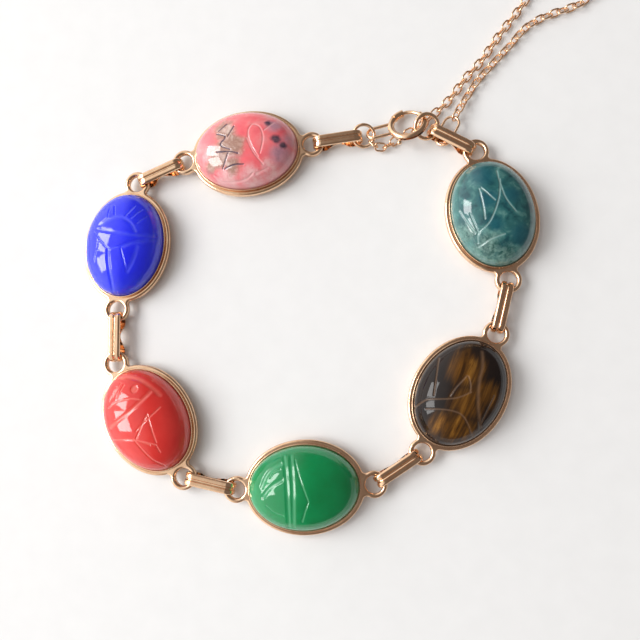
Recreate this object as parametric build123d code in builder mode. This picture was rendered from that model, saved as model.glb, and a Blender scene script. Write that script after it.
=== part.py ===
"""Link bracelet lying open: six oval cabochons in bezel frames, ribbed band links, a spring ring clasp
and a safety chain. Millimetres, +Z up, origin on the table below the middle of the whole bracelet."""

from build123d import *
import os
from math import asin, atan2, ceil, cos, degrees, radians, sin, sqrt

# Stones: oval, flat below, high domed
stone_length = 16.0
stone_width = 12.0
girdle_height = 1.45
dome_height = 4.1
side_fullness = 0.64
top_fullness = 0.60

# Bezel frames
stone_clearance = 0.05
seat_height = 0.6
seat_ledge = 0.9
rim_thickness = 0.2
rim_height = 2.3
rim_rounding = 0.07
cove_width = 0.17
cove_depth = 0.32
bead_width = 0.42
bead_height = 1.06
bead_rounding = 0.3
cup_wall = 0.45
cup_chamfer = 0.1

# Ring lugs at both ends of a frame
lug_hole_radius = 1.25
lug_wire = 0.7
lug_rounding = 0.34
lug_gap = 0.02
shoulder_radius = 0.5

# Ribbed links: a band closed into a loop and pinched in the middle
link_length = 7.8
link_height = 2.6
link_width = 1.85
band_thickness = 0.4
band_rounding = 0.32
heel_length = 0.6
rise_start = 0.75
rise_end = 0.7
slope_width = 0.32
web_half_length = 0.25
web_slit = 0.05
rib_groove_radius = 0.24
rib_groove_depth = 0.2

# Jump rings
end_ring_diameter = 3.8
end_ring_wire = 0.5
connector_diameter = 4.2
connector_wire = 0.6
chain_ring_length = 5.2
chain_ring_width = 2.78
chain_ring_wire = 0.4

# Spring ring clasp: a hollow ring with a collar, a gap, a slot and a soldered tail loop
clasp_radius = 2.55
clasp_tube = 0.5
clasp_bore = 0.35
collar_radius = 0.58
collar_span = 38.0
gap_start = 35.0
gap_end = 96.0
bore_margin = 28.0
tail_reach = 6.25
tail_half_width = 0.98
tail_wire = 0.5

# Gate: a curved bolt with a thumb knob, sliding inside the clasp's ring
gate_radius = 0.28
gate_insertion = 5.0
gate_tail = 8.0
gate_travel = 68.0
gate_tip_rounding = 0.1
knob_angle = 241.0
knob_radius = 0.36
knob_reach = 1.2
stem_radius = 0.13
slot_clearance = 0.04
slot_margin = 4.0

# How the clasp and its rings lie: overlaps in millimetres, turns in degrees
end_ring_gap = 0.16
end_ring_overlap = 1.0
end_ring_start_height = 1.28
end_ring_end_height = 1.5
end_ring_roll = 20.0
clasp_height = 1.95
clasp_pitch = 5.0
clasp_roll = -23.5
clasp_bend = 38.0
connector_overlap = 1.12
connector_lift = 0.77
connector_end_height = 1.37
connector_roll = 13.5
connector_gap = 0.53

# How the chain ring lies at the last link, measured from the link's end and its centre line
chain_ring_station = 2.62
chain_ring_offset = 1.15
chain_ring_height = 1.06
chain_ring_pitch = 2.4
chain_ring_roll = -14.7

# Safety chain: rolls of its upright and its flat links are a quarter turn apart
chain_link_length = 2.0
chain_link_width = 1.45
chain_wire = 0.28
chain_slack = 0.14
chain_upright_roll = -58.0
chain_floor_gap = 0.06
chain_hook_angle = -52.0
chain_hook_turn = 15.0
chain_hook_gap = 0.17
chain_lead = 1.3

# Bracelet's layout: a row for each link and the station after it. Headings are in degrees, and
# end_gap is the space from a lug hole's middle to the link's end.
first_station = "green"
first_heading = 2.8
left_side = (
    # link, station, link_heading, station_heading, end_gap
    ("ribbed_link_3", "red", 168.0, 124.2, 0.20),
    ("ribbed_link_2", "blue", 92.4, 83.8, 0.30),
    ("ribbed_link_1", "pink", 25.5, 8.6, 0.24),
)
left_end = ("ribbed_link_6", 9.0, 0.22)
right_side = (
    ("ribbed_link_4", "tiger", 33.3, 56.4, 0.30),
    ("ribbed_link_5", "teal", 74.8, 100.5, 0.20),
)
right_end = ("ribbed_link_7", 148.5, 0.22)

# The chain's way on the table, from the middle of the spring ring: out along the first strand,
# round its far end and back along the second strand
chain_route = (
    (-2.7, -2.6),
    (-1.5, -1.7),
    (-0.1, -0.95),
    (1.4, -0.25),
    (2.7, 0.7),
    (4.0, 1.9),
    (5.8, 3.5),
    (7.5, 5.5),
    (9.3, 7.85),
    (11.2, 9.9),
    (12.8, 12.1),
    (14.7, 14.8),
    (16.6, 17.2),
    (18.4, 19.7),
    (20.4, 22.7),
    (23.2, 25.4),
    (26.9, 25.9),
    (29.2, 23.2),
    (28.0, 19.8),
    (24.6, 18.1),
    (21.0, 16.9),
    (17.9, 14.9),
    (16.2, 12.9),
    (14.4, 11.0),
    (12.5, 8.95),
    (10.7, 6.9),
    (9.4, 4.9),
)

frame_width = stone_clearance + rim_thickness + cove_width + bead_width
lug_reach = stone_length / 2 + frame_width + lug_hole_radius + lug_gap
bead_bottom = (link_height - bead_height) / 2
bead_top = bead_bottom + bead_height
end_ring_radius = (end_ring_diameter - end_ring_wire) / 2
connector_radius = (connector_diameter - connector_wire) / 2


def direction(heading, length=1.0):
    """Level vector of a length along a heading."""
    return Vector(length * cos(radians(heading)), length * sin(radians(heading)), 0)


def lying_plane(origin, heading, pitch=0.0, roll=0.0):
    """Plane whose X points along a heading, raised by pitch, with its left side raised by roll."""
    ahead = direction(heading, cos(radians(pitch))) + Vector(0, 0, sin(radians(pitch)))
    left = direction(heading + 90)
    normal = ahead.cross(left) * cos(radians(roll)) - left * sin(radians(roll))
    return Plane(origin=origin, x_dir=ahead, z_dir=normal)


def oval(margin, mode=Mode.ADD):
    """The stone's outline, grown by a margin."""
    return Ellipse(stone_length / 2 + margin, stone_width / 2 + margin, mode=mode)


def make_stone():
    """Oval cabochon on its flat face: a round one, stretched along X."""
    radius = stone_width / 2
    top = girdle_height + dome_height
    with BuildPart() as stone:
        with BuildSketch(Plane.XZ):
            with BuildLine():
                Line((0, 0), (radius, 0))
                Line((radius, 0), (radius, girdle_height))
                Bezier(
                    (radius, girdle_height),
                    (radius, girdle_height + side_fullness * dome_height),
                    (top_fullness * radius, top),
                    (0, top),
                )
                Line((0, top), (0, 0))
            make_face()
        revolve(axis=Axis.Z)
        scale(by=(stone_length / stone_width, 1, 1))
    return stone.part


def make_frame():
    """Bezel cup with a rim, a cove and a bead, and a ring lug at each end, soldered together."""
    cove_inner = stone_clearance + rim_thickness
    cove_outer = cove_inner + cove_width
    with BuildPart() as frame:
        with BuildSketch(Plane.XY.offset(bead_bottom)):
            oval(frame_width)
            with Locations((lug_reach, 0), (-lug_reach, 0)):
                Circle(lug_hole_radius + lug_wire)
        extrude(amount=bead_height)
        corners = frame.edges().filter_by(Axis.Z).filter_by(lambda edge: abs(edge.center().Y) > lug_wire)
        fillet(corners, shoulder_radius)
        levels = frame.edges().group_by(Axis.Z)
        fillet(levels[0] + levels[-1], bead_rounding)
        with BuildSketch(Plane.XY.offset(bead_bottom)):
            with Locations((lug_reach, 0), (-lug_reach, 0)):
                Circle(lug_hole_radius)
        extrude(amount=bead_height, mode=Mode.SUBTRACT)
        holes = frame.edges().filter_by(GeomType.CIRCLE).filter_by(
            lambda edge: abs(edge.radius - lug_hole_radius) < 0.001 and abs(edge.arc_center.X) > stone_length / 2
        )
        fillet(holes, lug_rounding)
        with BuildSketch(Plane.XY):
            oval(cup_wall)
        extrude(amount=bead_bottom + bead_rounding)
        chamfer(frame.edges().group_by(Axis.Z)[0], cup_chamfer)
        with BuildSketch(Plane.XY.offset(bead_top)):
            oval(cove_outer)
        extrude(amount=-cove_depth, mode=Mode.SUBTRACT)
        with BuildSketch(Plane.XY.offset(bead_bottom)):
            oval(cove_inner)
        extrude(amount=rim_height - bead_bottom)
        with BuildSketch(Plane.XY.offset(seat_height)):
            oval(stone_clearance)
        extrude(amount=rim_height, mode=Mode.SUBTRACT)
        with BuildSketch(Plane.XY):
            oval(-seat_ledge)
        extrude(amount=rim_height, mode=Mode.SUBTRACT)
        fillet(frame.edges().group_by(Axis.Z)[-1], rim_rounding)
    return frame.part


def make_link():
    """Band loop lying on its back: an eye at each end, ribs in front, its back pinched to its front."""
    half = link_length / 2
    end_radius = link_height / 2
    flat_end = half - end_radius
    heel_end = flat_end - heel_length
    back_top = link_height - 2 * band_thickness
    eye_radius = end_radius - band_thickness
    eye_top = link_height - band_thickness
    with BuildPart() as link:
        with BuildSketch(Plane.XZ):
            with BuildLine() as side:
                Line((0, link_height), (flat_end, link_height))
                ThreePointArc((flat_end, link_height), (half, end_radius), (flat_end, 0))
                Line((flat_end, 0), (heel_end, 0))
                Bezier(
                    (heel_end, 0),
                    (heel_end - rise_start, 0),
                    (rise_end, back_top),
                    (0, back_top),
                )
                Line((0, back_top), (0, link_height))
            make_face()
            with BuildLine() as eye:
                Line((web_half_length, eye_top), (flat_end, eye_top))
                ThreePointArc((flat_end, eye_top), (half - band_thickness, end_radius), (flat_end, band_thickness))
                Line((flat_end, band_thickness), (heel_end, band_thickness))
                Bezier(
                    (heel_end, band_thickness),
                    (heel_end - rise_start + slope_width, band_thickness),
                    (rise_end + slope_width, eye_top - web_slit),
                    (web_half_length, eye_top - web_slit),
                )
                Line((web_half_length, eye_top - web_slit), (web_half_length, eye_top))
            make_face(mode=Mode.SUBTRACT)
            mirror(about=Plane.YZ)
        extrude(amount=link_width / 2, both=True)
        edges = link.edges().filter_by(
            lambda edge: abs(abs(edge.center().Y) - link_width / 2) < 0.001
            and edge.bounding_box().max.Z > link_height - 0.001
        )
        fillet(edges, band_rounding)
        groove_lift = rib_groove_radius - rib_groove_depth
        with BuildLine(Plane.XZ) as route:
            Line((-flat_end, link_height + groove_lift), (flat_end, link_height + groove_lift))
            ThreePointArc(
                (flat_end, link_height + groove_lift),
                (half + groove_lift, end_radius),
                (flat_end, -groove_lift),
            )
            ThreePointArc(
                (-flat_end, link_height + groove_lift),
                (-half - groove_lift, end_radius),
                (-flat_end, -groove_lift),
            )
        with BuildSketch(Plane.YZ):
            with Locations((0, link_height + groove_lift)):
                Circle(rib_groove_radius)
        sweep(path=route.wires()[0], mode=Mode.SUBTRACT)
    return link.part


def oval_ring(length, width, wire):
    """Closed ring of round wire in the XY plane, with straight sides if it is longer than wide."""
    radius = (width - wire) / 2
    side = (length - width) / 2
    with BuildPart() as ring:
        with BuildLine() as route:
            if side > 0:
                Line((-side, -radius), (side, -radius))
            ThreePointArc((side, -radius), (side + radius, 0), (side, radius))
            if side > 0:
                Line((side, radius), (-side, radius))
            ThreePointArc((-side, radius), (-side - radius, 0), (-side, -radius))
        with BuildSketch(Plane(origin=route.line @ 0, z_dir=route.line % 0)):
            Circle(wire / 2)
        sweep()
    return ring.part


def ring_section(angle):
    """Plane across the clasp's ring at an angle, X pointing outward."""
    outward = direction(angle)
    return Plane(origin=outward * clasp_radius, x_dir=outward, z_dir=outward.cross(Vector(0, 0, 1)))


def make_clasp():
    """Hollow spring ring with its tail loop, around the origin. Its tail points along -X."""
    solid_turn = 360 - (gap_end - gap_start)
    bore_end = 360 - bore_margin
    tip_bore = gap_start - bore_margin
    leg_start = -sqrt(clasp_radius**2 - tail_half_width**2)
    bend = -(tail_reach - tail_half_width)
    with BuildPart() as clasp:
        with BuildSketch(ring_section(gap_end)):
            Circle(clasp_tube)
        revolve(axis=Axis.Z, revolution_arc=solid_turn)
        with BuildSketch(ring_section(gap_end)):
            Circle(collar_radius)
        revolve(axis=Axis.Z, revolution_arc=collar_span)
        with BuildLine() as tail:
            Line((leg_start, tail_half_width), (bend, tail_half_width))
            ThreePointArc((bend, tail_half_width), (-tail_reach, 0), (bend, -tail_half_width))
            Line((bend, -tail_half_width), (leg_start, -tail_half_width))
        with BuildSketch(Plane(origin=tail.line @ 0, z_dir=tail.line % 0)):
            Circle(tail_wire / 2)
        sweep()
        with BuildSketch(ring_section(gap_end)):
            Circle(clasp_bore)
        revolve(axis=Axis.Z, revolution_arc=bore_end - gap_end, mode=Mode.SUBTRACT)
        with BuildSketch(ring_section(bore_margin)):
            Circle(clasp_bore)
        revolve(axis=Axis.Z, revolution_arc=tip_bore, mode=Mode.SUBTRACT)
        with BuildSketch(ring_section(knob_angle - slot_margin)):
            with Locations((clasp_tube, 0)):
                Rectangle(2 * clasp_tube, 2 * (stem_radius + slot_clearance))
        revolve(axis=Axis.Z, revolution_arc=gate_travel + 2 * slot_margin, mode=Mode.SUBTRACT)
    return clasp.part


def make_gate():
    """Curved bolt closing the clasp's gap, with a thumb knob on a stem."""
    tip = gap_start - gate_insertion
    with BuildPart() as gate:
        with BuildSketch(ring_section(tip)):
            Circle(gate_radius)
        revolve(axis=Axis.Z, revolution_arc=knob_angle + gate_tail - tip)
        fillet(gate.edges().filter_by(GeomType.CIRCLE), gate_tip_rounding)
        with BuildSketch(Plane(origin=direction(knob_angle, clasp_radius), z_dir=direction(knob_angle))):
            Circle(stem_radius)
        extrude(amount=knob_reach)
        with Locations(direction(knob_angle, clasp_radius + knob_reach)):
            Sphere(knob_radius)
    return gate.part


def lay_side(rows, start_heading, bend):
    """Middles and headings of one side's links and stations, and its last lug hole."""
    hole = direction(start_heading, lug_reach)
    places = {}
    for link, station, link_heading, station_heading, end_gap in rows:
        heading = start_heading + bend * (link_heading - start_heading)
        places[link] = (hole + direction(heading, end_gap + link_length / 2), heading)
        hole += direction(heading, 2 * end_gap + link_length)
        heading = start_heading + bend * (station_heading - start_heading)
        places[station] = (hole + direction(heading, lug_reach), heading)
        hole += direction(heading, 2 * lug_reach)
    return places, hole


def lay_bracelet(bend):
    """Places of all links and stations, and both ends that the clasp joins."""
    places = {first_station: (Vector(0, 0, 0), first_heading)}
    ends = []
    sides = (
        (left_side, left_end, first_heading + 180, end_ring_radius - end_ring_gap),
        (right_side, right_end, first_heading, connector_radius - connector_gap),
    )
    for rows, (link, link_heading, end_gap), start_heading, inset in sides:
        side_places, hole = lay_side(rows, start_heading, bend)
        places.update(side_places)
        heading = start_heading + bend * (link_heading - start_heading)
        places[link] = (hole + direction(heading, end_gap + link_length / 2), heading)
        ends.append(hole + direction(heading, end_gap + link_length - inset))
    return places, ends


def ring_plane(start, end, roll):
    """Plane of a round ring whose wire runs through a start point and, opposite, an end point."""
    across = end - start
    pitch = degrees(asin(across.Z / across.length))
    return lying_plane((start + end) / 2, degrees(atan2(across.Y, across.X)), pitch, roll)


def make_chain(route, first_roll):
    """Cable chain along a route: equal links, each a quarter turn from the one before."""
    pitch_limit = chain_link_length - 2 * chain_wire - chain_slack
    count = 2 * ceil(route.length / pitch_limit / 2)
    link = oval_ring(chain_link_length, chain_link_width, chain_wire)
    with BuildPart() as chain:
        for number in range(count + 1):
            middle = route @ (number / count)
            ahead = route % (number / count)
            heading = degrees(atan2(ahead.Y, ahead.X))
            roll = first_roll - 90 * (number % 2)
            with Locations(lying_plane(middle, heading, degrees(asin(ahead.Z)), roll).location):
                add(link)
    return chain.part


def placed(piece, plane):
    """A piece moved from the origin to a plane."""
    with BuildPart() as result:
        with Locations(plane.location):
            add(piece)
    return result.part


# The clasp with both rings is two bars, bent where the connector ring holds the spring ring
clasp_level = cos(radians(clasp_pitch))
end_ring_rise = end_ring_end_height - end_ring_start_height
end_ring_span = sqrt((2 * end_ring_radius) ** 2 - end_ring_rise**2)
first_bar = end_ring_span - end_ring_overlap + (tail_reach + clasp_radius - connector_overlap) * clasp_level
connector_start_height = clasp_height + connector_lift
connector_start_height += (clasp_radius - connector_overlap) * sin(radians(clasp_pitch))
second_bar = sqrt((2 * connector_radius) ** 2 - (connector_start_height - connector_end_height) ** 2)
fold = radians(clasp_bend)
clasp_span = sqrt(first_bar**2 + second_bar**2 + 2 * first_bar * second_bar * cos(fold))

# All turns of the layout are scaled alike until the clasp just reaches from end to end
wide, tight = 0.7, 1.3
for _ in range(50):
    turn_factor = (wide + tight) / 2
    places, ends = lay_bracelet(turn_factor)
    opening = ends[1] - ends[0]
    if opening.X > 0 and opening.length > clasp_span:
        wide = turn_factor
    else:
        tight = turn_factor

# The clasp's own places, along its first bar
bar_heading = degrees(atan2(opening.Y, opening.X) + asin(second_bar * sin(fold) / clasp_span))
bar = direction(bar_heading)
end_ring_plane = ring_plane(
    ends[0] + Vector(0, 0, end_ring_start_height),
    ends[0] + bar * end_ring_span + Vector(0, 0, end_ring_end_height),
    end_ring_roll,
)
clasp_middle = ends[0] + bar * (end_ring_span - end_ring_overlap + tail_reach * clasp_level)
clasp_plane = lying_plane(clasp_middle + Vector(0, 0, clasp_height), bar_heading, clasp_pitch, clasp_roll)
connector_plane = ring_plane(
    ends[0] + bar * first_bar + Vector(0, 0, connector_start_height),
    ends[1] + Vector(0, 0, connector_end_height),
    connector_roll,
)

# The chain ring lies across the last link, with one side through its eye and one below its pinch
last_middle, last_heading = places[right_end[0]]
chain_ring_middle = last_middle + direction(last_heading, link_length / 2 - chain_ring_station)
chain_ring_middle += direction(last_heading - 90, chain_ring_offset) + Vector(0, 0, chain_ring_height)
chain_ring_plane = lying_plane(chain_ring_middle, last_heading - 90, chain_ring_pitch, chain_ring_roll)

# The chain starts at the end ring's wire and ends at the chain ring's tip
upright_half = (chain_link_width - chain_wire) / 2 * abs(sin(radians(chain_upright_roll))) + chain_wire / 2
chain_height = upright_half + chain_floor_gap
hook_step = chain_link_length / 2 - chain_wire - chain_hook_gap
hook_angle = radians(chain_hook_angle)
hook_reach = end_ring_radius + hook_step - end_ring_wire / 2
chain_start = end_ring_plane.from_local_coords((hook_reach * cos(hook_angle), hook_reach * sin(hook_angle), 0))
tip_reach = chain_ring_length / 2 + hook_step - chain_ring_wire
chain_end = chain_ring_plane.from_local_coords((tip_reach, 0, 0))
start_lead = chain_start + direction(bar_heading + chain_hook_angle + chain_hook_turn, chain_lead)
end_lead = chain_end + chain_ring_plane.x_dir * chain_lead
with BuildLine():
    along = [clasp_middle + Vector(x, y, chain_height) for x, y in chain_route]
    chain_line = Spline(chain_start, start_lead, *along, end_lead, chain_end)

pieces = {}
stone = make_stone()
frame = make_frame()
link = make_link()
for name, (middle, heading) in places.items():
    if name.startswith("ribbed_link"):
        pieces[name] = placed(link, lying_plane(middle, heading))
    else:
        pieces["frame_" + name] = placed(frame, lying_plane(middle, heading))
        stone_middle = middle + Vector(0, 0, seat_height + stone_clearance)
        pieces["stone_" + name] = placed(stone, lying_plane(stone_middle, heading))
pieces["end_ring"] = placed(oval_ring(end_ring_diameter, end_ring_diameter, end_ring_wire), end_ring_plane)
pieces["clasp_ring"] = placed(make_clasp(), clasp_plane)
pieces["gate_bolt"] = placed(make_gate(), clasp_plane)
pieces["connector_ring"] = placed(
    oval_ring(connector_diameter, connector_diameter, connector_wire), connector_plane
)
pieces["chain_ring"] = placed(
    oval_ring(chain_ring_length, chain_ring_width, chain_ring_wire), chain_ring_plane
)
pieces["safety_chain"] = make_chain(chain_line, chain_upright_roll)

# The origin goes below the middle of the whole bracelet's box
whole = Compound(children=list(pieces.values())).bounding_box()
origin = Vector(whole.center().X, whole.center().Y, whole.min.Z)

os.makedirs("parts", exist_ok=True)
for name, piece in pieces.items():
    finished = placed(piece, Plane(origin=-origin))
    finished.label = name
    export_step(finished, f"parts/{name}.step")
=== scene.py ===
"""Looks of the link bracelet: polished gold, carved translucent stones, a pale floor and soft light."""

import bpy
import math
import numpy as np
from dataclasses import dataclass
from mathutils import Matrix, Vector


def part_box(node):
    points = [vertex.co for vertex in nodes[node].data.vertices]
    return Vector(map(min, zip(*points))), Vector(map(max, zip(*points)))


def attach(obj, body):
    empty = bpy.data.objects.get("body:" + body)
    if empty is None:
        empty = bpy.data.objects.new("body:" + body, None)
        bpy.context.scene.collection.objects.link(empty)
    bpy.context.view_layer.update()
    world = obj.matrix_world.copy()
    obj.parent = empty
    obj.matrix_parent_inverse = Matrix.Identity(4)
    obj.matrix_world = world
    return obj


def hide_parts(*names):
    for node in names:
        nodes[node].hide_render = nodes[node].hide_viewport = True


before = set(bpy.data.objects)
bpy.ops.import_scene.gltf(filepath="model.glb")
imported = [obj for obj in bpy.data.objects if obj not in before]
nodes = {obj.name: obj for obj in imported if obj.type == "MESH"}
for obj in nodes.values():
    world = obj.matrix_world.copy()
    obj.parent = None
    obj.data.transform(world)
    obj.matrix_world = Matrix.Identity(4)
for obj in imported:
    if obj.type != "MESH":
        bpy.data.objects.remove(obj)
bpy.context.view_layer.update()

# Camera, as fitted to the photograph: metres and radians in the bracelet's frame
IMAGE_SIZE = 640
SENSOR_MM = 36.0
FOCAL_PIXELS = 650.0
CAMERA_TURN_Y = 0.09697
CAMERA_TURN_X = 0.12051
CAMERA_REACH = 0.099106
CAMERA_NEAREST = 0.005
CAMERA_FARTHEST = 20.0
AIM_FROM_GREEN = Vector((0.00212, 0.02470, 0.0))

green_low, green_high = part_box("frame_green")
aim = (green_low + green_high) / 2 + AIM_FROM_GREEN
aim.z = 0.0
camera_turn = Matrix.Rotation(CAMERA_TURN_Y, 3, "Y") @ Matrix.Rotation(CAMERA_TURN_X, 3, "X")
camera_place = aim + camera_turn.col[2] * CAMERA_REACH
camera_data = bpy.data.cameras.new("camera")
camera_data.sensor_width = SENSOR_MM
camera_data.lens = FOCAL_PIXELS * SENSOR_MM / IMAGE_SIZE
camera_data.clip_start = CAMERA_NEAREST
camera_data.clip_end = CAMERA_FARTHEST
camera = bpy.data.objects.new("camera", camera_data)
camera.matrix_world = Matrix.Translation(camera_place) @ camera_turn.to_4x4()
bpy.context.scene.collection.objects.link(camera)
bpy.context.scene.camera = camera
bpy.context.scene.view_settings.view_transform = "Standard"


def to_pixel(point):
    """Where a point of the scene shows in the photograph's frame."""
    seen = camera_turn.transposed() @ (Vector(point) - camera_place)
    return np.array([seen.x, -seen.y]) * FOCAL_PIXELS / -seen.z + IMAGE_SIZE / 2


def from_pixel(pixel, height):
    """The point at a height that shows at a pixel of the photograph's frame."""
    across = (pixel[0] - IMAGE_SIZE / 2) / FOCAL_PIXELS
    down = (pixel[1] - IMAGE_SIZE / 2) / FOCAL_PIXELS
    ray = camera_turn @ Vector((across, -down, -1.0))
    return camera_place + ray * ((height - camera_place.z) / ray.z)


# Tools for materials. Noise scales are cells per metre, and a ramp's stops are positions and colours.

# A colour mix node has a set of sockets for each kind of value: these are the colour ones
MIX_FIRST = 6
MIX_SECOND = 7
MIX_RESULT = 2
RAMP_MIDDLE = 0.5
NOISE_MIDDLE = 0.5
RAGGEDNESS = 1.6


def fill_ramp(ramp, stops):
    """Give a colour ramp its stops."""
    while len(ramp.elements) < len(stops):
        ramp.elements.new(RAMP_MIDDLE)
    for element, (position, colour) in zip(ramp.elements, stops):
        element.position = position
        element.color = (*colour, 1.0)


class Shader:
    """A new material with short calls for the nodes that feed its surface shader."""

    def __init__(self, name):
        self.material = bpy.data.materials.new(name)
        self.material.use_nodes = True
        self.tree = self.material.node_tree
        self.surface = self.tree.nodes["Principled BSDF"]
        self.place = self.add("ShaderNodeTexCoord").outputs["Object"]

    def add(self, kind, **settings):
        """A new node with some settings."""
        node = self.tree.nodes.new(kind)
        for key, value in settings.items():
            setattr(node, key, value)
        return node

    def link(self, output, socket):
        """Feed a socket of any node."""
        self.tree.links.new(output, socket)

    def set(self, socket, value):
        """Give the surface a value that is the same all over."""
        self.surface.inputs[socket].default_value = value

    def feed(self, socket, output):
        """Give the surface a value that changes over it."""
        self.link(output, self.surface.inputs[socket])

    def noise(self, scale, detail=3.0, roughness=0.5, distortion=0.0, stretch=None, heading=0.0):
        """Noise over the surface. A stretch below 1 makes its cells longer, and above 1 narrower."""
        node = self.add("ShaderNodeTexNoise")
        node.inputs["Scale"].default_value = scale
        node.inputs["Detail"].default_value = detail
        node.inputs["Roughness"].default_value = roughness
        node.inputs["Distortion"].default_value = distortion
        place = self.place
        if stretch:
            turned = self.add("ShaderNodeVectorRotate", rotation_type="Z_AXIS")
            turned.inputs["Angle"].default_value = -math.radians(heading)
            mapping = self.add("ShaderNodeMapping")
            mapping.inputs["Scale"].default_value = stretch
            self.link(place, turned.inputs["Vector"])
            self.link(turned.outputs["Vector"], mapping.inputs["Vector"])
            place = mapping.outputs["Vector"]
        self.link(place, node.inputs["Vector"])
        return node.outputs["Fac"]

    def ramp(self, factor, stops):
        """Colours along a factor."""
        node = self.add("ShaderNodeValToRGB")
        fill_ramp(node.color_ramp, stops)
        self.link(factor, node.inputs["Fac"])
        return node.outputs["Color"]

    def mix(self, factor, first, second):
        """A colour from the first to the second, each of them a tuple or another node's colour."""
        node = self.add("ShaderNodeMix", data_type="RGBA")
        self.link(factor, node.inputs["Factor"])
        for index, value in ((MIX_FIRST, first), (MIX_SECOND, second)):
            if isinstance(value, tuple):
                node.inputs[index].default_value = (*value, 1.0)
            else:
                self.link(value, node.inputs[index])
        return node.outputs[MIX_RESULT]

    def calculate(self, operation, first, second):
        """The sum, product or other result of a node's value and a number or another node's value."""
        node = self.add("ShaderNodeMath", operation=operation)
        self.link(first, node.inputs[0])
        if isinstance(second, float):
            node.inputs[1].default_value = second
        else:
            self.link(second, node.inputs[1])
        return node.outputs[0]

    def map_range(self, value, before=(0.0, 1.0), after=(0.0, 1.0), interpolation="LINEAR"):
        """A value carried from one range to another."""
        node = self.add("ShaderNodeMapRange", interpolation_type=interpolation)
        node.inputs["From Min"].default_value, node.inputs["From Max"].default_value = before
        node.inputs["To Min"].default_value, node.inputs["To Max"].default_value = after
        self.link(value, node.inputs["Value"])
        return node.outputs["Result"]

    def ragged(self, amount, noise, low, high):
        """A patch with an uneven edge: the patch plus noise, rising from nothing at low to full at high."""
        unevenness = self.calculate("MULTIPLY", self.calculate("SUBTRACT", noise, NOISE_MIDDLE), RAGGEDNESS)
        uneven = self.calculate("ADD", amount, unevenness)
        return self.map_range(uneven, before=(low, high), interpolation="SMOOTHSTEP")

    def bump(self, height, strength, distance):
        """Small hills in the surface's shading."""
        node = self.add("ShaderNodeBump")
        node.inputs["Strength"].default_value = strength
        node.inputs["Distance"].default_value = distance
        self.link(height, node.inputs["Height"])
        self.feed("Normal", node.outputs["Normal"])

    def attribute(self, name):
        """A value that the mesh carries at its points."""
        return self.add("ShaderNodeAttribute", attribute_name=name).outputs["Fac"]


# Gold
GOLD_TONES = [(0.3, (0.84, 0.53, 0.33)), (0.75, (0.94, 0.67, 0.45))]
GOLD_TONE_SCALE = 900.0
GOLD_TONE_DETAIL = 4.0
GOLD_WEAR_SCALE = 2600.0
GOLD_WEAR_DETAIL = 5.0
GOLD_WEAR_ROUGHNESS = 0.65
GOLD_SHINE = (0.07, 0.18)
GOLD_WAVE_SCALE = 1500.0
GOLD_WAVE_STRENGTH = 0.06
GOLD_WAVE_HEIGHT = 0.00006


def gold():
    """Polished rosy gold with fine wear in its gloss."""
    shader = Shader("gold")
    shader.feed("Base Color", shader.ramp(shader.noise(GOLD_TONE_SCALE, GOLD_TONE_DETAIL), GOLD_TONES))
    shader.set("Metallic", 1.0)
    wear = shader.noise(GOLD_WEAR_SCALE, GOLD_WEAR_DETAIL, GOLD_WEAR_ROUGHNESS)
    shader.feed("Roughness", shader.map_range(wear, after=GOLD_SHINE))
    shader.bump(shader.noise(GOLD_WAVE_SCALE), GOLD_WAVE_STRENGTH, GOLD_WAVE_HEIGHT)
    return shader.material


# Stones
QUARTZ_IOR = 1.54
STONE_GLOSS = 0.5
STONE_COAT = 0.2
COAT_ROUGHNESS = 0.03
POLISH_ROUGHNESS = 0.06
CUT_DULLNESS = 0.30
GLOW_REACH = 0.006
GLOW_TINT = (1.0, 1.0, 1.0)
# Painted glow: how far a stone's colour goes towards its lighter edge colour near the girdle, standing in
# for light shining through the thin edge
PAINTED_EDGE_GLOW = 0.5
CLOUD_ROUGHNESS = 0.55
PATCH_DETAIL = 5.0
PATCH_ROUGHNESS = 0.6
PATCH_EDGE_DISTORTION = 0.4
PATCH_INSIDE_DISTORTION = 0.3
PATCH_INSIDE_FINENESS = 2.5
RIPPLE_SCALE = 3000.0
RIPPLE_STRENGTH = 0.03
RIPPLE_HEIGHT = 0.00004

# Fibres: how their noise is scaled along, across and up, and the heading they run in, in degrees
FIBRES = (0.22, 2.6, 1.0)
FIBRE_HEADING = 66.0


@dataclass
class Clouds:
    """Colours that change over a whole stone."""
    colours: list
    scale: float
    detail: float = 4.0
    distortion: float = 0.0


@dataclass
class Patch:
    """Other colours where the carved mesh carries an attribute, with a ragged edge from low to high."""
    attribute: str
    colours: list
    scale: float
    low: float
    high: float
    stretch: tuple = None
    heading: float = 0.0


def lay_patch(shader, colour, patch):
    """The colour so far with a patch laid over it."""
    edge_noise = shader.noise(
        patch.scale, PATCH_DETAIL, PATCH_ROUGHNESS, PATCH_EDGE_DISTORTION, patch.stretch, patch.heading
    )
    inside_noise = shader.noise(
        patch.scale * PATCH_INSIDE_FINENESS, PATCH_DETAIL, PATCH_ROUGHNESS, PATCH_INSIDE_DISTORTION,
        patch.stretch, patch.heading,
    )
    amount = shader.ragged(shader.attribute(patch.attribute), edge_noise, patch.low, patch.high)
    return shader.mix(amount, colour, shader.ramp(inside_noise, patch.colours))


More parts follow.
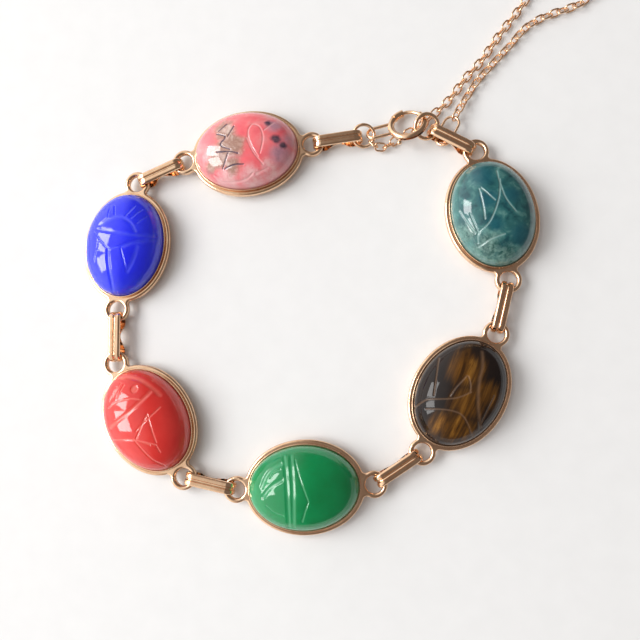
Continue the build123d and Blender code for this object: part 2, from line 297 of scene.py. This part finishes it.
def polished_stone(
    name, clouds, painted_glow_colour, cut_colour, glow, patches=(), gloss=STONE_GLOSS, coat=STONE_COAT
):
    """Cloudy colour with listed patches laid over it, a painted glow that lightens its edge, and duller
    strokes where it is carved.
    """
    shader = Shader(name)
    cloud_noise = shader.noise(clouds.scale, clouds.detail, CLOUD_ROUGHNESS, clouds.distortion)
    colour = shader.ramp(cloud_noise, clouds.colours)
    for patch in patches:
        colour = lay_patch(shader, colour, patch)
    # Painted glow: the colour is lightened towards the girdle, where light would shine through the thin
    # edge
    edge_glow_amount = shader.calculate("MULTIPLY", shader.attribute("edge"), PAINTED_EDGE_GLOW)
    cut = shader.attribute("cut")
    shader.feed("Base Color", shader.mix(cut, shader.mix(edge_glow_amount, colour, painted_glow_colour), cut_colour))
    dullness = shader.calculate("MULTIPLY", cut, CUT_DULLNESS)
    shader.feed("Roughness", shader.calculate("ADD", dullness, POLISH_ROUGHNESS))
    shader.set("Subsurface Weight", glow)
    shader.set("Subsurface Radius", GLOW_TINT)
    shader.set("Subsurface Scale", GLOW_REACH)
    shader.set("IOR", QUARTZ_IOR)
    shader.set("Specular IOR Level", gloss)
    shader.set("Coat Weight", coat)
    shader.set("Coat Roughness", COAT_ROUGHNESS)
    shader.bump(shader.noise(RIPPLE_SCALE), RIPPLE_STRENGTH, RIPPLE_HEIGHT)
    return shader.material


def lapis_blue():
    """Deep even blue that the light goes far into."""
    return polished_stone(
        "lapis_blue",
        Clouds([(0.3, (0.014, 0.022, 0.86)), (0.75, (0.026, 0.045, 1.0))], 130.0),
        painted_glow_colour=(0.045, 0.07, 1.0),
        cut_colour=(0.09, 0.13, 1.0),
        glow=1.0,
    )


def carnelian():
    """Warm red with paler strokes."""
    return polished_stone(
        "carnelian",
        Clouds([(0.3, (0.62, 0.026, 0.022)), (0.75, (0.74, 0.050, 0.040))], 150.0),
        painted_glow_colour=(0.80, 0.11, 0.09),
        cut_colour=(0.86, 0.23, 0.18),
        glow=0.6,
    )


def chalcedony():
    """Even green, with a milky painted glow at its edge."""
    return polished_stone(
        "chalcedony",
        Clouds([(0.3, (0.0, 0.185, 0.05)), (0.75, (0.001, 0.28, 0.085))], 150.0),
        painted_glow_colour=(0.04, 0.36, 0.17),
        cut_colour=(0.07, 0.40, 0.19),
        glow=0.5,
    )


def tiger_eye():
    """Near black, with a golden brown fibrous patch whose brightest tones are a painted sheen."""
    # Golden brown colour of the fibres, with its brightest tones a painted sheen where they catch the light
    fibres_and_sheen = Patch(
        "fibres_and_sheen",
        [(0.34, (0.035, 0.014, 0.003)), (0.52, (0.12, 0.048, 0.007)), (0.70, (0.30, 0.135, 0.022))],
        scale=230.0, low=0.20, high=1.15, stretch=FIBRES, heading=FIBRE_HEADING,
    )
    return polished_stone(
        "tiger_eye",
        Clouds([(0.3, (0.008, 0.006, 0.006)), (0.75, (0.022, 0.013, 0.009))], 170.0),
        painted_glow_colour=(0.03, 0.02, 0.018),
        cut_colour=(0.17, 0.10, 0.06),
        glow=0.0,
        patches=[fibres_and_sheen],
        gloss=0.24,
        coat=0.0,
    )


def moss_agate():
    """Mottled teal, darker in some places and greyer in others."""
    dark_teal = Patch(
        "dark", [(0.3, (0.004, 0.07, 0.095)), (0.7, (0.014, 0.11, 0.13))],
        scale=300.0, low=0.1, high=1.0,
    )
    grey_moss = Patch(
        "moss", [(0.38, (0.014, 0.070, 0.062)), (0.68, (0.19, 0.33, 0.29))],
        scale=620.0, low=0.1, high=1.0,
    )
    return polished_stone(
        "moss_agate",
        Clouds(
            [(0.36, (0.006, 0.060, 0.072)), (0.52, (0.024, 0.125, 0.125)), (0.72, (0.14, 0.31, 0.28))],
            520.0, detail=6.0, distortion=0.5,
        ),
        painted_glow_colour=(0.15, 0.32, 0.29),
        cut_colour=(0.34, 0.50, 0.47),
        glow=0.2,
        patches=[dark_teal, grey_moss],
    )


def rhodonite():
    """Mottled pink with pale, brown, mauve and nearly black patches."""
    pale = Patch(
        "pale", [(0.35, (0.82, 0.30, 0.32)), (0.6, (0.90, 0.52, 0.52)), (0.7, (0.76, 0.26, 0.28))],
        scale=420.0, low=0.1, high=1.0,
    )
    brown = Patch(
        "brown", [(0.3, (0.60, 0.40, 0.34)), (0.5, (0.36, 0.19, 0.14)), (0.72, (0.74, 0.58, 0.52))],
        scale=260.0, low=0.1, high=0.9,
    )
    mauve = Patch(
        "mauve", [(0.3, (0.44, 0.22, 0.29)), (0.7, (0.70, 0.34, 0.40))],
        scale=300.0, low=0.0, high=1.1,
    )
    dark = Patch(
        "dark", [(0.3, (0.035, 0.03, 0.06)), (0.7, (0.20, 0.10, 0.13))],
        scale=600.0, low=0.2, high=0.9,
    )
    return polished_stone(
        "rhodonite",
        Clouds(
            [(0.3, (0.80, 0.10, 0.13)), (0.55, (0.92, 0.18, 0.20)), (0.8, (0.86, 0.36, 0.36))],
            260.0, detail=5.0, distortion=0.6,
        ),
        painted_glow_colour=(0.74, 0.36, 0.36),
        cut_colour=(0.92, 0.52, 0.52),
        glow=0.3,
        patches=[pale, brown, mauve, dark],
    )


GOLD_MATERIAL = gold()
STONE_MATERIALS = {
    "blue": lapis_blue(),
    "red": carnelian(),
    "green": chalcedony(),
    "tiger": tiger_eye(),
    "teal": moss_agate(),
    "pink": rhodonite(),
}

for name, node in nodes.items():
    node.data.materials.clear()
    if name.startswith("stone_"):
        node.data.materials.append(STONE_MATERIALS[name.removeprefix("stone_")])
    else:
        node.data.materials.append(GOLD_MATERIAL)


# Carving, charted over the photograph. Each pair is a pixel of it, and middle is the pixel
# of the bezel's middle. Bands are broad grooves, strokes are narrow ones, and dark strokes are
# narrow ones that the material's dark patch fills. A dot or patch is a pixel with a radius in
# pixels, and the patches have the names that the materials read.
CARVING = {
    "blue": {
        "middle": (123.8, 246.5),
        "bands": [
            [(97, 226), (104, 220), (112, 217), (120, 218), (128, 224), (132, 232)],
            [(96, 230), (107, 232), (118, 234), (134, 236), (154, 237)],
            [(118, 247), (130, 243), (152, 241)],
            [(134, 247), (131, 259), (124, 272)],
            [(105, 250), (105, 259), (106, 268), (108, 280), (110, 292)],
        ],
        "strokes": [
            [(92, 233), (98, 242), (105, 250), (112, 248), (119, 246)],
            [(118, 250), (121, 262), (124, 272)],
            [(96, 242), (92, 262)],
            [(107, 209), (105, 217)],
            [(112, 207), (112, 216)],
            [(123, 216), (132, 207)],
            [(128, 219), (140, 210)],
            [(134, 224), (144, 217)],
        ],
    },
    "red": {
        "middle": (148.6, 420.3),
        "bands": [
            [(110, 428), (130, 412), (150, 393)],
            [(118, 379), (124, 378), (130, 378), (143, 382), (155, 391), (160, 396)],
        ],
        "strokes": [
            [(109, 409), (113, 405), (118, 402), (130, 399), (142, 401)],
            [(136, 432), (160, 408)],
            [(113, 398), (121, 384)],
            [(117, 399), (124, 386)],
            [(110, 402), (117, 388)],
            [(147, 415), (136, 440)],
            [(147, 415), (156, 443)],
            [(136, 441), (156, 446)],
            [(113, 441), (133, 440), (150, 446)],
            [(133, 440), (150, 460), (165, 467)],
            [(157, 448), (160, 453)],
        ],
        "dots": [((134, 390), 4.0)],
    },
    "green": {
        "middle": (304.3, 487.2),
        "bands": [
            [(284, 457), (286, 474), (287, 490), (288, 508), (289, 527)],
            [(291, 457), (292, 474), (293, 492), (293, 508), (293, 527)],
            [(262, 487), (266, 476), (273, 468), (281, 464)],
            [(263, 497), (270, 487), (282, 480)],
        ],
        "strokes": [
            [(295, 460), (297, 470), (300, 480), (304, 491), (308, 502)],
            [(308, 503), (305, 511), (302, 522)],
            [(270, 478), (274, 472), (280, 470)],
            [(266, 506), (274, 513), (283, 516)],
        ],
    },
    "tiger": {
        "middle": (461.7, 392.7),
        "bands": [
            [(484, 352), (485, 366), (481, 380), (480, 395), (480, 410), (483, 428)],
        ],
        "strokes": [
            [(441, 358), (438, 380), (436, 395)],
            [(416, 408), (424, 402), (430, 399), (445, 399), (460, 398), (473, 392)],
            [(452, 396), (458, 387), (465, 380), (470, 374), (473, 385), (472, 393)],
            [(428, 409), (445, 409), (460, 412), (466, 417), (470, 424), (475, 437)],
            [(483, 425), (490, 410), (497, 396)],
        ],
        "patches": {
            # Where the golden fibres and their painted sheen lie
            "fibres_and_sheen": [
                ((470, 370), 22), ((488, 394), 18), ((472, 404), 22), ((462, 428), 22), ((444, 424), 14)
            ],
        },
    },
    "teal": {
        "middle": (497.1, 215.8),
        "strokes": [
            [(502, 172), (504, 181), (507, 190), (511, 200), (521, 212)],
            [(505, 180), (505, 190), (504, 200), (499, 215), (493, 226), (482, 234), (483, 244)],
            [(484, 190), (488, 205), (490, 220)],
            [(486, 189), (500, 201)],
            [(475, 215), (479, 224), (483, 233)],
            [(484, 248), (495, 240), (510, 235)],
            [(465, 212), (472, 223), (480, 234)],
        ],
        "patches": {
            "dark": [
                ((487, 177), 13), ((492, 200), 11), ((527, 235), 12), ((517, 195), 10), ((500, 225), 9)
            ],
            "moss": [((490, 253), 18), ((470, 235), 11), ((508, 258), 12)],
        },
    },
    "pink": {
        "middle": (241.4, 149.6),
        "strokes": [
            [
                (252, 153), (245, 142), (241, 130), (245, 121),
                (250, 121), (255, 124), (258, 135), (254, 150),
            ],
            [(241, 135), (247, 149), (257, 161)],
            [(258, 127), (268, 120)],
            [(208, 173), (215, 180), (225, 181), (240, 178), (247, 170)],
            [(250, 171), (262, 165)],
        ],
        "dark_strokes": [
            [(211, 131), (222, 133), (212, 142), (224, 146)],
            [(222, 133), (228, 123)],
            [(213, 128), (221, 121)],
            [(211, 149), (224, 148), (232, 150)],
            [(222, 150), (217, 166)],
            [(219, 166), (228, 161), (238, 161)],
        ],
        "patches": {
            "brown": [
                ((219, 128), 14), ((225, 142), 17), ((214, 156), 13), ((226, 162), 11), ((205, 165), 7)
            ],
            "mauve": [((278, 152), 13), ((284, 138), 9), ((268, 122), 9)],
            "pale": [((222, 176), 13), ((245, 174), 14), ((264, 166), 11), ((204, 152), 8)],
            "dark": [((270, 136), 5.5), ((262, 120), 4), ((277, 142), 4)],
        },
    },
}

# Grooves: half widths and depths in metres, how much of the cut colour they take, and how often and
# how far from its ends each run of a stroke is cut to round its corners
BAND_HALF_WIDTH = 0.00046
BAND_DEPTH = 0.00011
BAND_TONE = 0.45
STROKE_HALF_WIDTH = 0.00021
STROKE_DEPTH = 0.00008
STROKE_TONE = 0.5
CORNER_CUTS = 2
CORNER_SHARE = 0.25

# Round spots: where they end, in radii, how fast they rise from there, and a pixel on a stone in metres
DOT_REACH = 1.1
DOT_STEEPNESS = 3.0
PATCH_REACH = 1.35
PATCH_STEEPNESS = 1.0
PIXEL_SIZE = 0.000148

# The line round the dome and the painted glow that lightens the edge: how far out, as shares of the radius,
# and metres
RIM_LINE_SHARE = 0.90
RIM_LINE_HALF_WIDTH = 0.00022
RIM_LINE_DEPTH = 0.000025
PAINTED_GLOW_START = 0.80

# The cabochon: its heights in millimetres, and how full its dome's curve is at the side and the top
GIRDLE_MM = 1.45
STONE_HEIGHT_MM = 5.55
GIRDLE_SHARE = GIRDLE_MM / STONE_HEIGHT_MM
SIDE_FULLNESS = 0.64
TOP_FULLNESS = 0.60

# Height of the bezel's rim in metres, at which its middle was charted
BEZEL_HEIGHT = 0.0018

# The carved mesh: rings up the dome, each with a point at every spoke
RING_COUNT = 150
SPOKE_COUNT = 400
SPOKE_ANGLES = np.linspace(0.0, 2 * math.pi, SPOKE_COUNT, endpoint=False)

# Limits of the sums below
SEARCH_ROUNDS = 6
INSIDE_GIRDLE = 0.999
LEAST_STEP = 1e-6
LEAST_RADIUS = 1e-9
FAR_AWAY = 1.0


def dome_profile():
    """Shares of the radius and the height up the dome's side, a cubic curve from girdle to top."""
    way = np.linspace(0.0, 1.0, RING_COUNT)
    rest = 1 - way
    share = rest**3 + 3 * rest**2 * way + 3 * rest * way**2 * TOP_FULLNESS
    rise = 3 * rest**2 * way * SIDE_FULLNESS + 3 * rest * way**2 + way**3
    return share, rise


DOME_SHARE, DOME_RISE = dome_profile()


class Cabochon:
    """The place, oval and dome of a stone node. Its own points run along, across and up the stone."""

    def __init__(self, name, bezel_pixel):
        points = np.array([vertex.co[:] for vertex in nodes[name].data.vertices])
        low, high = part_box(name)
        self.middle = (low + high) / 2
        flat = points[:, :2] - np.array(self.middle[:2])
        tip = flat[np.hypot(flat[:, 0], flat[:, 1]).argmax()]
        self.along = tip / np.hypot(*tip)
        self.across = np.array([-self.along[1], self.along[0]])
        self.half_length = np.abs(flat @ self.along).max()
        self.half_width = np.abs(flat @ self.across).max()
        self.bottom = low.z
        self.top = high.z
        self.girdle = self.bottom + (self.top - self.bottom) * GIRDLE_SHARE
        self.dome_height = self.top - self.girdle
        self.shift = to_pixel((self.middle.x, self.middle.y, BEZEL_HEIGHT)) - np.array(bezel_pixel)

    def radius(self, x, y):
        """How far out points lie: 0 in the middle, 1 at the girdle."""
        return np.sqrt((x / self.half_length) ** 2 + (y / self.half_width) ** 2)

    def under_pixel(self, pixel):
        """The place on the dome that shows at a pixel of the photograph."""
        level = self.top
        for _ in range(SEARCH_ROUNDS):
            hit = from_pixel(np.array(pixel) + self.shift, level)
            offset = np.array([hit.x - self.middle.x, hit.y - self.middle.y])
            place = np.array([offset @ self.along, offset @ self.across])
            out = min(self.radius(*place), INSIDE_GIRDLE)
            level = self.girdle + np.interp(out, DOME_SHARE[::-1], DOME_RISE[::-1]) * self.dome_height
        return place

    def ring(self, share):
        """Places on an oval ring, at a share of the way out to the girdle."""
        return np.column_stack([
            share * np.cos(SPOKE_ANGLES) * self.half_length, share * np.sin(SPOKE_ANGLES) * self.half_width
        ])

    def to_world(self, points):
        """The stone's own points in the bracelet's frame."""
        return np.column_stack([
            self.middle.x + points[:, 0] * self.along[0] + points[:, 1] * self.across[0],
            self.middle.y + points[:, 0] * self.along[1] + points[:, 1] * self.across[1],
            points[:, 2],
        ])


def dome_points(stone):
    """Points of the plain dome, ring by ring from the girdle up, and its top last."""
    places = np.vstack([stone.ring(share) for share in DOME_SHARE[:-1]] + [[[0.0, 0.0]]])
    heights = np.repeat(stone.girdle + DOME_RISE[:-1] * stone.dome_height, SPOKE_COUNT)
    return np.column_stack([places, np.append(heights, stone.top)])


def dome_normals(stone, points, radius):
    """Directions square to the plain dome, from the slope of its profile."""
    inwards = np.minimum(np.gradient(DOME_SHARE), -LEAST_STEP)
    slope = np.gradient(DOME_RISE * stone.dome_height) / inwards
    slope = np.append(np.repeat(slope[:-1], SPOKE_COUNT), 0.0)
    normals = np.column_stack([
        -slope * points[:, 0] / (radius * stone.half_length**2),
        -slope * points[:, 1] / (radius * stone.half_width**2),
        np.ones(len(points)),
    ])
    return normals / np.linalg.norm(normals, axis=1)[:, None]


def base_points(stone):
    """The lower edge of the straight girdle, and the middle of the flat back last."""
    places = np.vstack([stone.ring(1.0), [[0.0, 0.0]]])
    return np.column_stack([places, np.full(len(places), stone.bottom)])


def stone_faces():
    """Faces of the dome, of the straight girdle below it and of the flat back."""
    last_ring = (RING_COUNT - 2) * SPOKE_COUNT
    apex = last_ring + SPOKE_COUNT
    wall = apex + 1
    back = wall + SPOKE_COUNT
    faces = []
    for ring in range(0, last_ring, SPOKE_COUNT):
        for spoke in range(SPOKE_COUNT):
            following = (spoke + 1) % SPOKE_COUNT
            upper = ring + SPOKE_COUNT
            faces.append((ring + spoke, ring + following, upper + following, upper + spoke))
    for spoke in range(SPOKE_COUNT):
        following = (spoke + 1) % SPOKE_COUNT
        faces.append((last_ring + spoke, last_ring + following, apex))
        faces.append((wall + spoke, wall + following, following, spoke))
        faces.append((wall + following, wall + spoke, back))
    return faces


def smooth_stroke(stroke):
    """A stroke with its corners cut until they look round. A straight stroke has none."""
    points = [np.array(point, float) for point in stroke]
    corners = len(points) - 2
    for _ in range(CORNER_CUTS if corners else 0):
        cut = [points[0]]
        for start, end in zip(points[:-1], points[1:]):
            cut.append(start * (1 - CORNER_SHARE) + end * CORNER_SHARE)
            cut.append(start * CORNER_SHARE + end * (1 - CORNER_SHARE))
        points = cut + [points[-1]]
    return points


def stroke_distance(places, stroke):
    """Least distance of each place from a stroke of straight runs."""
    best = np.full(len(places), FAR_AWAY)
    for start, end in zip(stroke[:-1], stroke[1:]):
        run = end - start
        share = np.clip(((places - start) @ run) / (run @ run), 0.0, 1.0)
        best = np.minimum(best, np.linalg.norm(places - start - share[:, None] * run, axis=1))
    return best


def grooves(stone, places, strokes, half_width):
    """How deep each place lies in the strokes' grooves, from 0 outside to 1 on their lines."""
    cut = np.zeros(len(places))
    for stroke in strokes:
        line = [stone.under_pixel(pixel) for pixel in smooth_stroke(stroke)]
        cut = np.maximum(cut, np.clip(1.0 - stroke_distance(places, line) / half_width, 0.0, 1.0))
    return cut * cut * (3 - 2 * cut)


def spots(stone, places, charted, reach, steepness):
    """How far each place lies in round spots, from 0 at reach radii from their middles up to 1."""
    amount = np.zeros(len(places))
    for pixel, size in charted:
        away = np.linalg.norm(places - stone.under_pixel(pixel), axis=1) / (size * PIXEL_SIZE)
        amount = np.maximum(amount, np.clip((reach - away) * steepness, 0.0, 1.0))
    return amount


def carved_dome(stone, chart):
    """Points of the carved dome, and what its material reads at each of them."""
    points = dome_points(stone)
    places = points[:, :2]
    radius = stone.radius(places[:, 0], places[:, 1]) + LEAST_RADIUS
    bands = grooves(stone, places, chart.get("bands", []), BAND_HALF_WIDTH)
    bands = np.maximum(bands, spots(stone, places, chart.get("dots", []), DOT_REACH, DOT_STEEPNESS))
    strokes = grooves(stone, places, chart["strokes"], STROKE_HALF_WIDTH)
    dark_strokes = grooves(stone, places, chart.get("dark_strokes", []), STROKE_HALF_WIDTH)
    from_rim_line = np.abs(radius - RIM_LINE_SHARE) * stone.half_width
    rim_line = np.clip(1.0 - from_rim_line / RIM_LINE_HALF_WIDTH, 0.0, 1.0)
    depth = np.maximum(bands * BAND_DEPTH, np.maximum(strokes, dark_strokes) * STROKE_DEPTH)
    depth = depth + rim_line * RIM_LINE_DEPTH
    painted = {
        "cut": np.maximum(bands * BAND_TONE, strokes * STROKE_TONE),
        # edge: where the painted glow lightens the colour near the girdle
        "edge": np.clip((radius - PAINTED_GLOW_START) / (1.0 - PAINTED_GLOW_START), 0.0, 1.0),
    }
    for patch, charted in chart.get("patches", {}).items():
        painted[patch] = spots(stone, places, charted, PATCH_REACH, PATCH_STEEPNESS)
    if "dark_strokes" in chart:
        painted["dark"] = np.maximum(painted["dark"], dark_strokes)
    return points - dome_normals(stone, points, radius) * depth[:, None], painted


def carve_stone(colour, chart, faces):
    """The carved cabochon that stands for a stone node, on the same oval and dome."""
    node_name = "stone_" + colour
    stone = Cabochon(node_name, chart["middle"])
    dome, painted = carved_dome(stone, chart)
    base = base_points(stone)
    world_points = stone.to_world(np.vstack([dome, base]))
    mesh = bpy.data.meshes.new("carved_" + colour)
    mesh.from_pydata([tuple(point) for point in world_points], [], faces)
    mesh.update()
    for paint, amount in painted.items():
        attribute = mesh.attributes.new(paint, "FLOAT", "POINT")
        attribute.data.foreach_set("value", np.append(amount, np.zeros(len(base))).astype(np.float32))
    mesh.polygons.foreach_set("use_smooth", [True] * len(mesh.polygons))
    mesh.materials.append(STONE_MATERIALS[colour])
    piece = bpy.data.objects.new("carved_" + colour, mesh)
    bpy.context.scene.collection.objects.link(piece)
    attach(piece, "bracelet")
    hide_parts(node_name)


shared_faces = stone_faces()
for colour, chart in CARVING.items():
    carve_stone(colour, chart, shared_faces)


# Floor
FLOOR_HALF = 1.5
PAPER_TONES = [(0.3, (0.785, 0.787, 0.785)), (0.7, (0.805, 0.807, 0.805))]
PAPER_SCALE = 300.0
PAPER_DETAIL = 4.0
PAPER_ROUGHNESS = 0.75


def lay_floor():
    """A wide sheet of white paper under the bracelet."""
    corners = [(-1, -1), (1, -1), (1, 1), (-1, 1)]
    mesh = bpy.data.meshes.new("floor")
    mesh.from_pydata([(x * FLOOR_HALF, y * FLOOR_HALF, 0) for x, y in corners], [], [(0, 1, 2, 3)])
    paper = Shader("paper")
    paper.feed("Base Color", paper.ramp(paper.noise(PAPER_SCALE, PAPER_DETAIL), PAPER_TONES))
    paper.set("Roughness", PAPER_ROUGHNESS)
    mesh.materials.append(paper.material)
    floor = bpy.data.objects.new("floor", mesh)
    bpy.context.scene.collection.objects.link(floor)


lay_floor()

# Light: a room that is bright on the window's side, two windows, and a soft light from above
WINDOW_SIDE = (-1.0, 0.06, 0.0)
ROOM_TONES = [
    (0.0, (0.20, 0.175, 0.165)),
    (0.12, (0.33, 0.29, 0.27)),
    (0.32, (1.0, 0.98, 0.96)),
    (0.80, (1.7, 1.7, 1.7)),
]
ROOM_STRENGTH = 0.9
WINDOW_PLACES = {"window_near": (-0.46, -0.10, 0.40), "window_far": (-0.46, 0.14, 0.40)}
WINDOW_SIZE = (0.20, 0.28)
WINDOW_WATTS = 1.55
WINDOW_TINT = (1.0, 0.995, 0.99)
OVERHEAD_PLACE = (0.0, 0.0, 0.9)
OVERHEAD_SIZE = (1.2, 1.2)
OVERHEAD_WATTS = 1.3
OVERHEAD_TINT = (1.0, 1.0, 1.0)


def light_room():
    """The room around the bracelet, brighter the nearer a direction is to the window's side."""
    world = bpy.data.worlds.new("studio")
    bpy.context.scene.world = world
    world.use_nodes = True
    world_nodes = world.node_tree.nodes
    background = world_nodes["Background"]
    direction = world_nodes.new("ShaderNodeTexCoord")
    towards_window = world_nodes.new("ShaderNodeVectorMath")
    towards_window.operation = "DOT_PRODUCT"
    towards_window.inputs[1].default_value = WINDOW_SIDE
    room = world_nodes.new("ShaderNodeValToRGB")
    fill_ramp(room.color_ramp, ROOM_TONES)
    world.node_tree.links.new(direction.outputs["Generated"], towards_window.inputs[0])
    world.node_tree.links.new(towards_window.outputs["Value"], room.inputs["Fac"])
    world.node_tree.links.new(room.outputs["Color"], background.inputs["Color"])
    background.inputs["Strength"].default_value = ROOM_STRENGTH


def soft_light(name, place, size, watts, tint):
    """A rectangle of light that faces the bracelet."""
    data = bpy.data.lights.new(name, "AREA")
    data.shape = "RECTANGLE"
    data.size, data.size_y = size
    data.energy = watts
    data.color = tint
    lamp = bpy.data.objects.new(name, data)
    lamp.location = place
    lamp.rotation_euler = (-Vector(place)).to_track_quat("-Z", "Y").to_euler()
    bpy.context.scene.collection.objects.link(lamp)
    return lamp


light_room()
for name, place in WINDOW_PLACES.items():
    soft_light(name, place, WINDOW_SIZE, WINDOW_WATTS, WINDOW_TINT)
overhead = soft_light("overhead", OVERHEAD_PLACE, OVERHEAD_SIZE, OVERHEAD_WATTS, OVERHEAD_TINT)
overhead.visible_glossy = False
